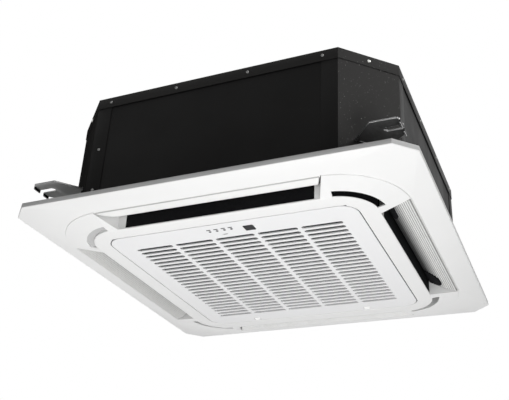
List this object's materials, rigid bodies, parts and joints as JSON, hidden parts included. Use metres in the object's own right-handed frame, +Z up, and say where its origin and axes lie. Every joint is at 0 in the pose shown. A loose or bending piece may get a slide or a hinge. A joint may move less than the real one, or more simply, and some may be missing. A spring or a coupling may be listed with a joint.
{
  "type": "ceiling cassette air conditioner",
  "caption": "Four-way ceiling cassette air conditioner with a white panel, hinged intake grille, swinging louvres and a black sheet-metal body.",
  "frame": {"origin": "the centre of the panel in the ceiling plane, where the panel's upper edge meets the ceiling", "axes": "+Z up into the ceiling void; +Y from the grille's hinge to its latches; +X to the right when seen from the hinge side"},
  "size_m": [0.95, 0.95, 0.336],
  "materials": {
    "white_panel": "satin white moulded plastic",
    "white_fitting": "matte white plastic",
    "louvre_plastic": "satin pale grey plastic",
    "fan_plastic": "matte pale grey plastic",
    "dark_plastic": "matte black plastic",
    "smoked_window": "gloss smoked window",
    "black_sheet": "satin black painted sheet steel",
    "galvanised_sheet": "galvanised sheet steel",
    "motor_casting": "satin cast and drawn casing",
    "steel_rod": "polished steel",
    "black_foam": "matte black foam",
    "filter_net": "matte blue-grey net",
    "fin_aluminium": "satin bare aluminium",
    "copper_tube": "satin copper",
    "brass_nut": "satin brass",
    "circuit_board": "matte green board"
  },
  "bodies": {
    "unit": {"panel_frame": "white_panel", "drain_outlet": "white_fitting", "bell_mouth": "dark_plastic", "drain_pump": "dark_plastic", "float_stem": "dark_plastic", "terminal_block": "dark_plastic", "top_cover": "black_sheet", "casing_wall_right": "black_sheet", "casing_wall_far": "black_sheet", "casing_wall_left": "black_sheet", "casing_wall_near": "black_sheet", "casing_corner_far_right": "black_sheet", "casing_corner_far_left": "black_sheet", "casing_corner_near_left": "black_sheet", "casing_corner_near_right": "black_sheet", "hanger_far_right": "galvanised_sheet", "hanger_far_left": "galvanised_sheet", "hanger_near_left": "galvanised_sheet", "hanger_near_right": "galvanised_sheet", "motor_bracket": "galvanised_sheet", "coil_end_plate_left": "galvanised_sheet", "coil_end_plate_far": "galvanised_sheet", "control_box": "galvanised_sheet", "control_box_cover": "galvanised_sheet", "fan_motor": "motor_casting", "louvre_motor_right": "motor_casting", "louvre_motor_far": "motor_casting", "louvre_motor_left": "motor_casting", "louvre_motor_near": "motor_casting", "ceiling_seal": "black_foam", "insulation_liner": "black_foam", "drain_pan": "black_foam", "evaporator_coil": "fin_aluminium", "gas_pipe": "copper_tube", "liquid_pipe": "copper_tube", "gas_flare_nut": "brass_nut", "liquid_flare_nut": "brass_nut", "control_board": "circuit_board"},
    "fan": {"fan_wheel": "fan_plastic", "fan_nut": "brass_nut", "motor_shaft": "steel_rod"},
    "louvre_right_body": {"louvre_right": "louvre_plastic"},
    "louvre_far_body": {"louvre_far": "louvre_plastic"},
    "louvre_left_body": {"louvre_left": "louvre_plastic"},
    "louvre_near_body": {"louvre_near": "louvre_plastic"},
    "grille": {"grille_door": "white_panel", "hinge_pin_left": "steel_rod", "hinge_pin_right": "steel_rod", "display_window": "smoked_window", "display_board": "circuit_board", "air_filter": "filter_net"},
    "latch_left_body": {"latch_left": "white_panel"},
    "latch_right_body": {"latch_right": "white_panel"},
    "button_body": {"push_button": "white_panel"},
    "float_body": {"level_float": "white_fitting"},
    "impeller_body": {"pump_impeller": "white_fitting"}
  },
  "joints": [
    {"name": "fan_spin", "type": "hinge", "parent": "unit", "child": "fan", "pos_m": [0, 0, 0.202], "axis": [0, 0, 1], "continuous": true},
    {"name": "louvre_right_swing", "type": "hinge", "parent": "unit", "child": "louvre_right_body", "pos_m": [0.416, 0, -0.0185], "axis": [0, 1, 0], "range_deg": [-28.5, 23]},
    {"name": "louvre_far_swing", "type": "hinge", "parent": "unit", "child": "louvre_far_body", "pos_m": [0, 0.416, -0.0185], "axis": [-1, 0, 0], "range_deg": [-28.5, 23]},
    {"name": "louvre_left_swing", "type": "hinge", "parent": "unit", "child": "louvre_left_body", "pos_m": [-0.416, 0, -0.0185], "axis": [0, -1, 0], "range_deg": [-28.5, 23]},
    {"name": "louvre_near_swing", "type": "hinge", "parent": "unit", "child": "louvre_near_body", "pos_m": [0, -0.416, -0.0185], "axis": [1, 0, 0], "range_deg": [-28.5, 23]},
    {"name": "grille_hinge", "type": "hinge", "parent": "unit", "child": "grille", "pos_m": [0, -0.3052, -0.0342], "axis": [-1, 0, 0], "range_deg": [0, 90]},
    {"name": "latch_left_slide", "type": "slide", "parent": "grille", "child": "latch_left_body", "axis": [0, -1, 0], "range_m": [0, 0.007]},
    {"name": "latch_right_slide", "type": "slide", "parent": "grille", "child": "latch_right_body", "axis": [0, -1, 0], "range_m": [0, 0.007]},
    {"name": "button_press", "type": "slide", "parent": "grille", "child": "button_body", "axis": [0, 0, 1], "range_m": [0, 0.001], "stiffness_N_per_m": 300, "springref_m": -0.002},
    {"name": "float_rise", "type": "slide", "parent": "unit", "child": "float_body", "axis": [0, 0, 1], "range_m": [0, 0.02]},
    {"name": "impeller_spin", "type": "hinge", "parent": "unit", "child": "impeller_body", "pos_m": [-0.276, 0.276, 0.062], "axis": [0, 0, 1], "continuous": true}
  ]
}
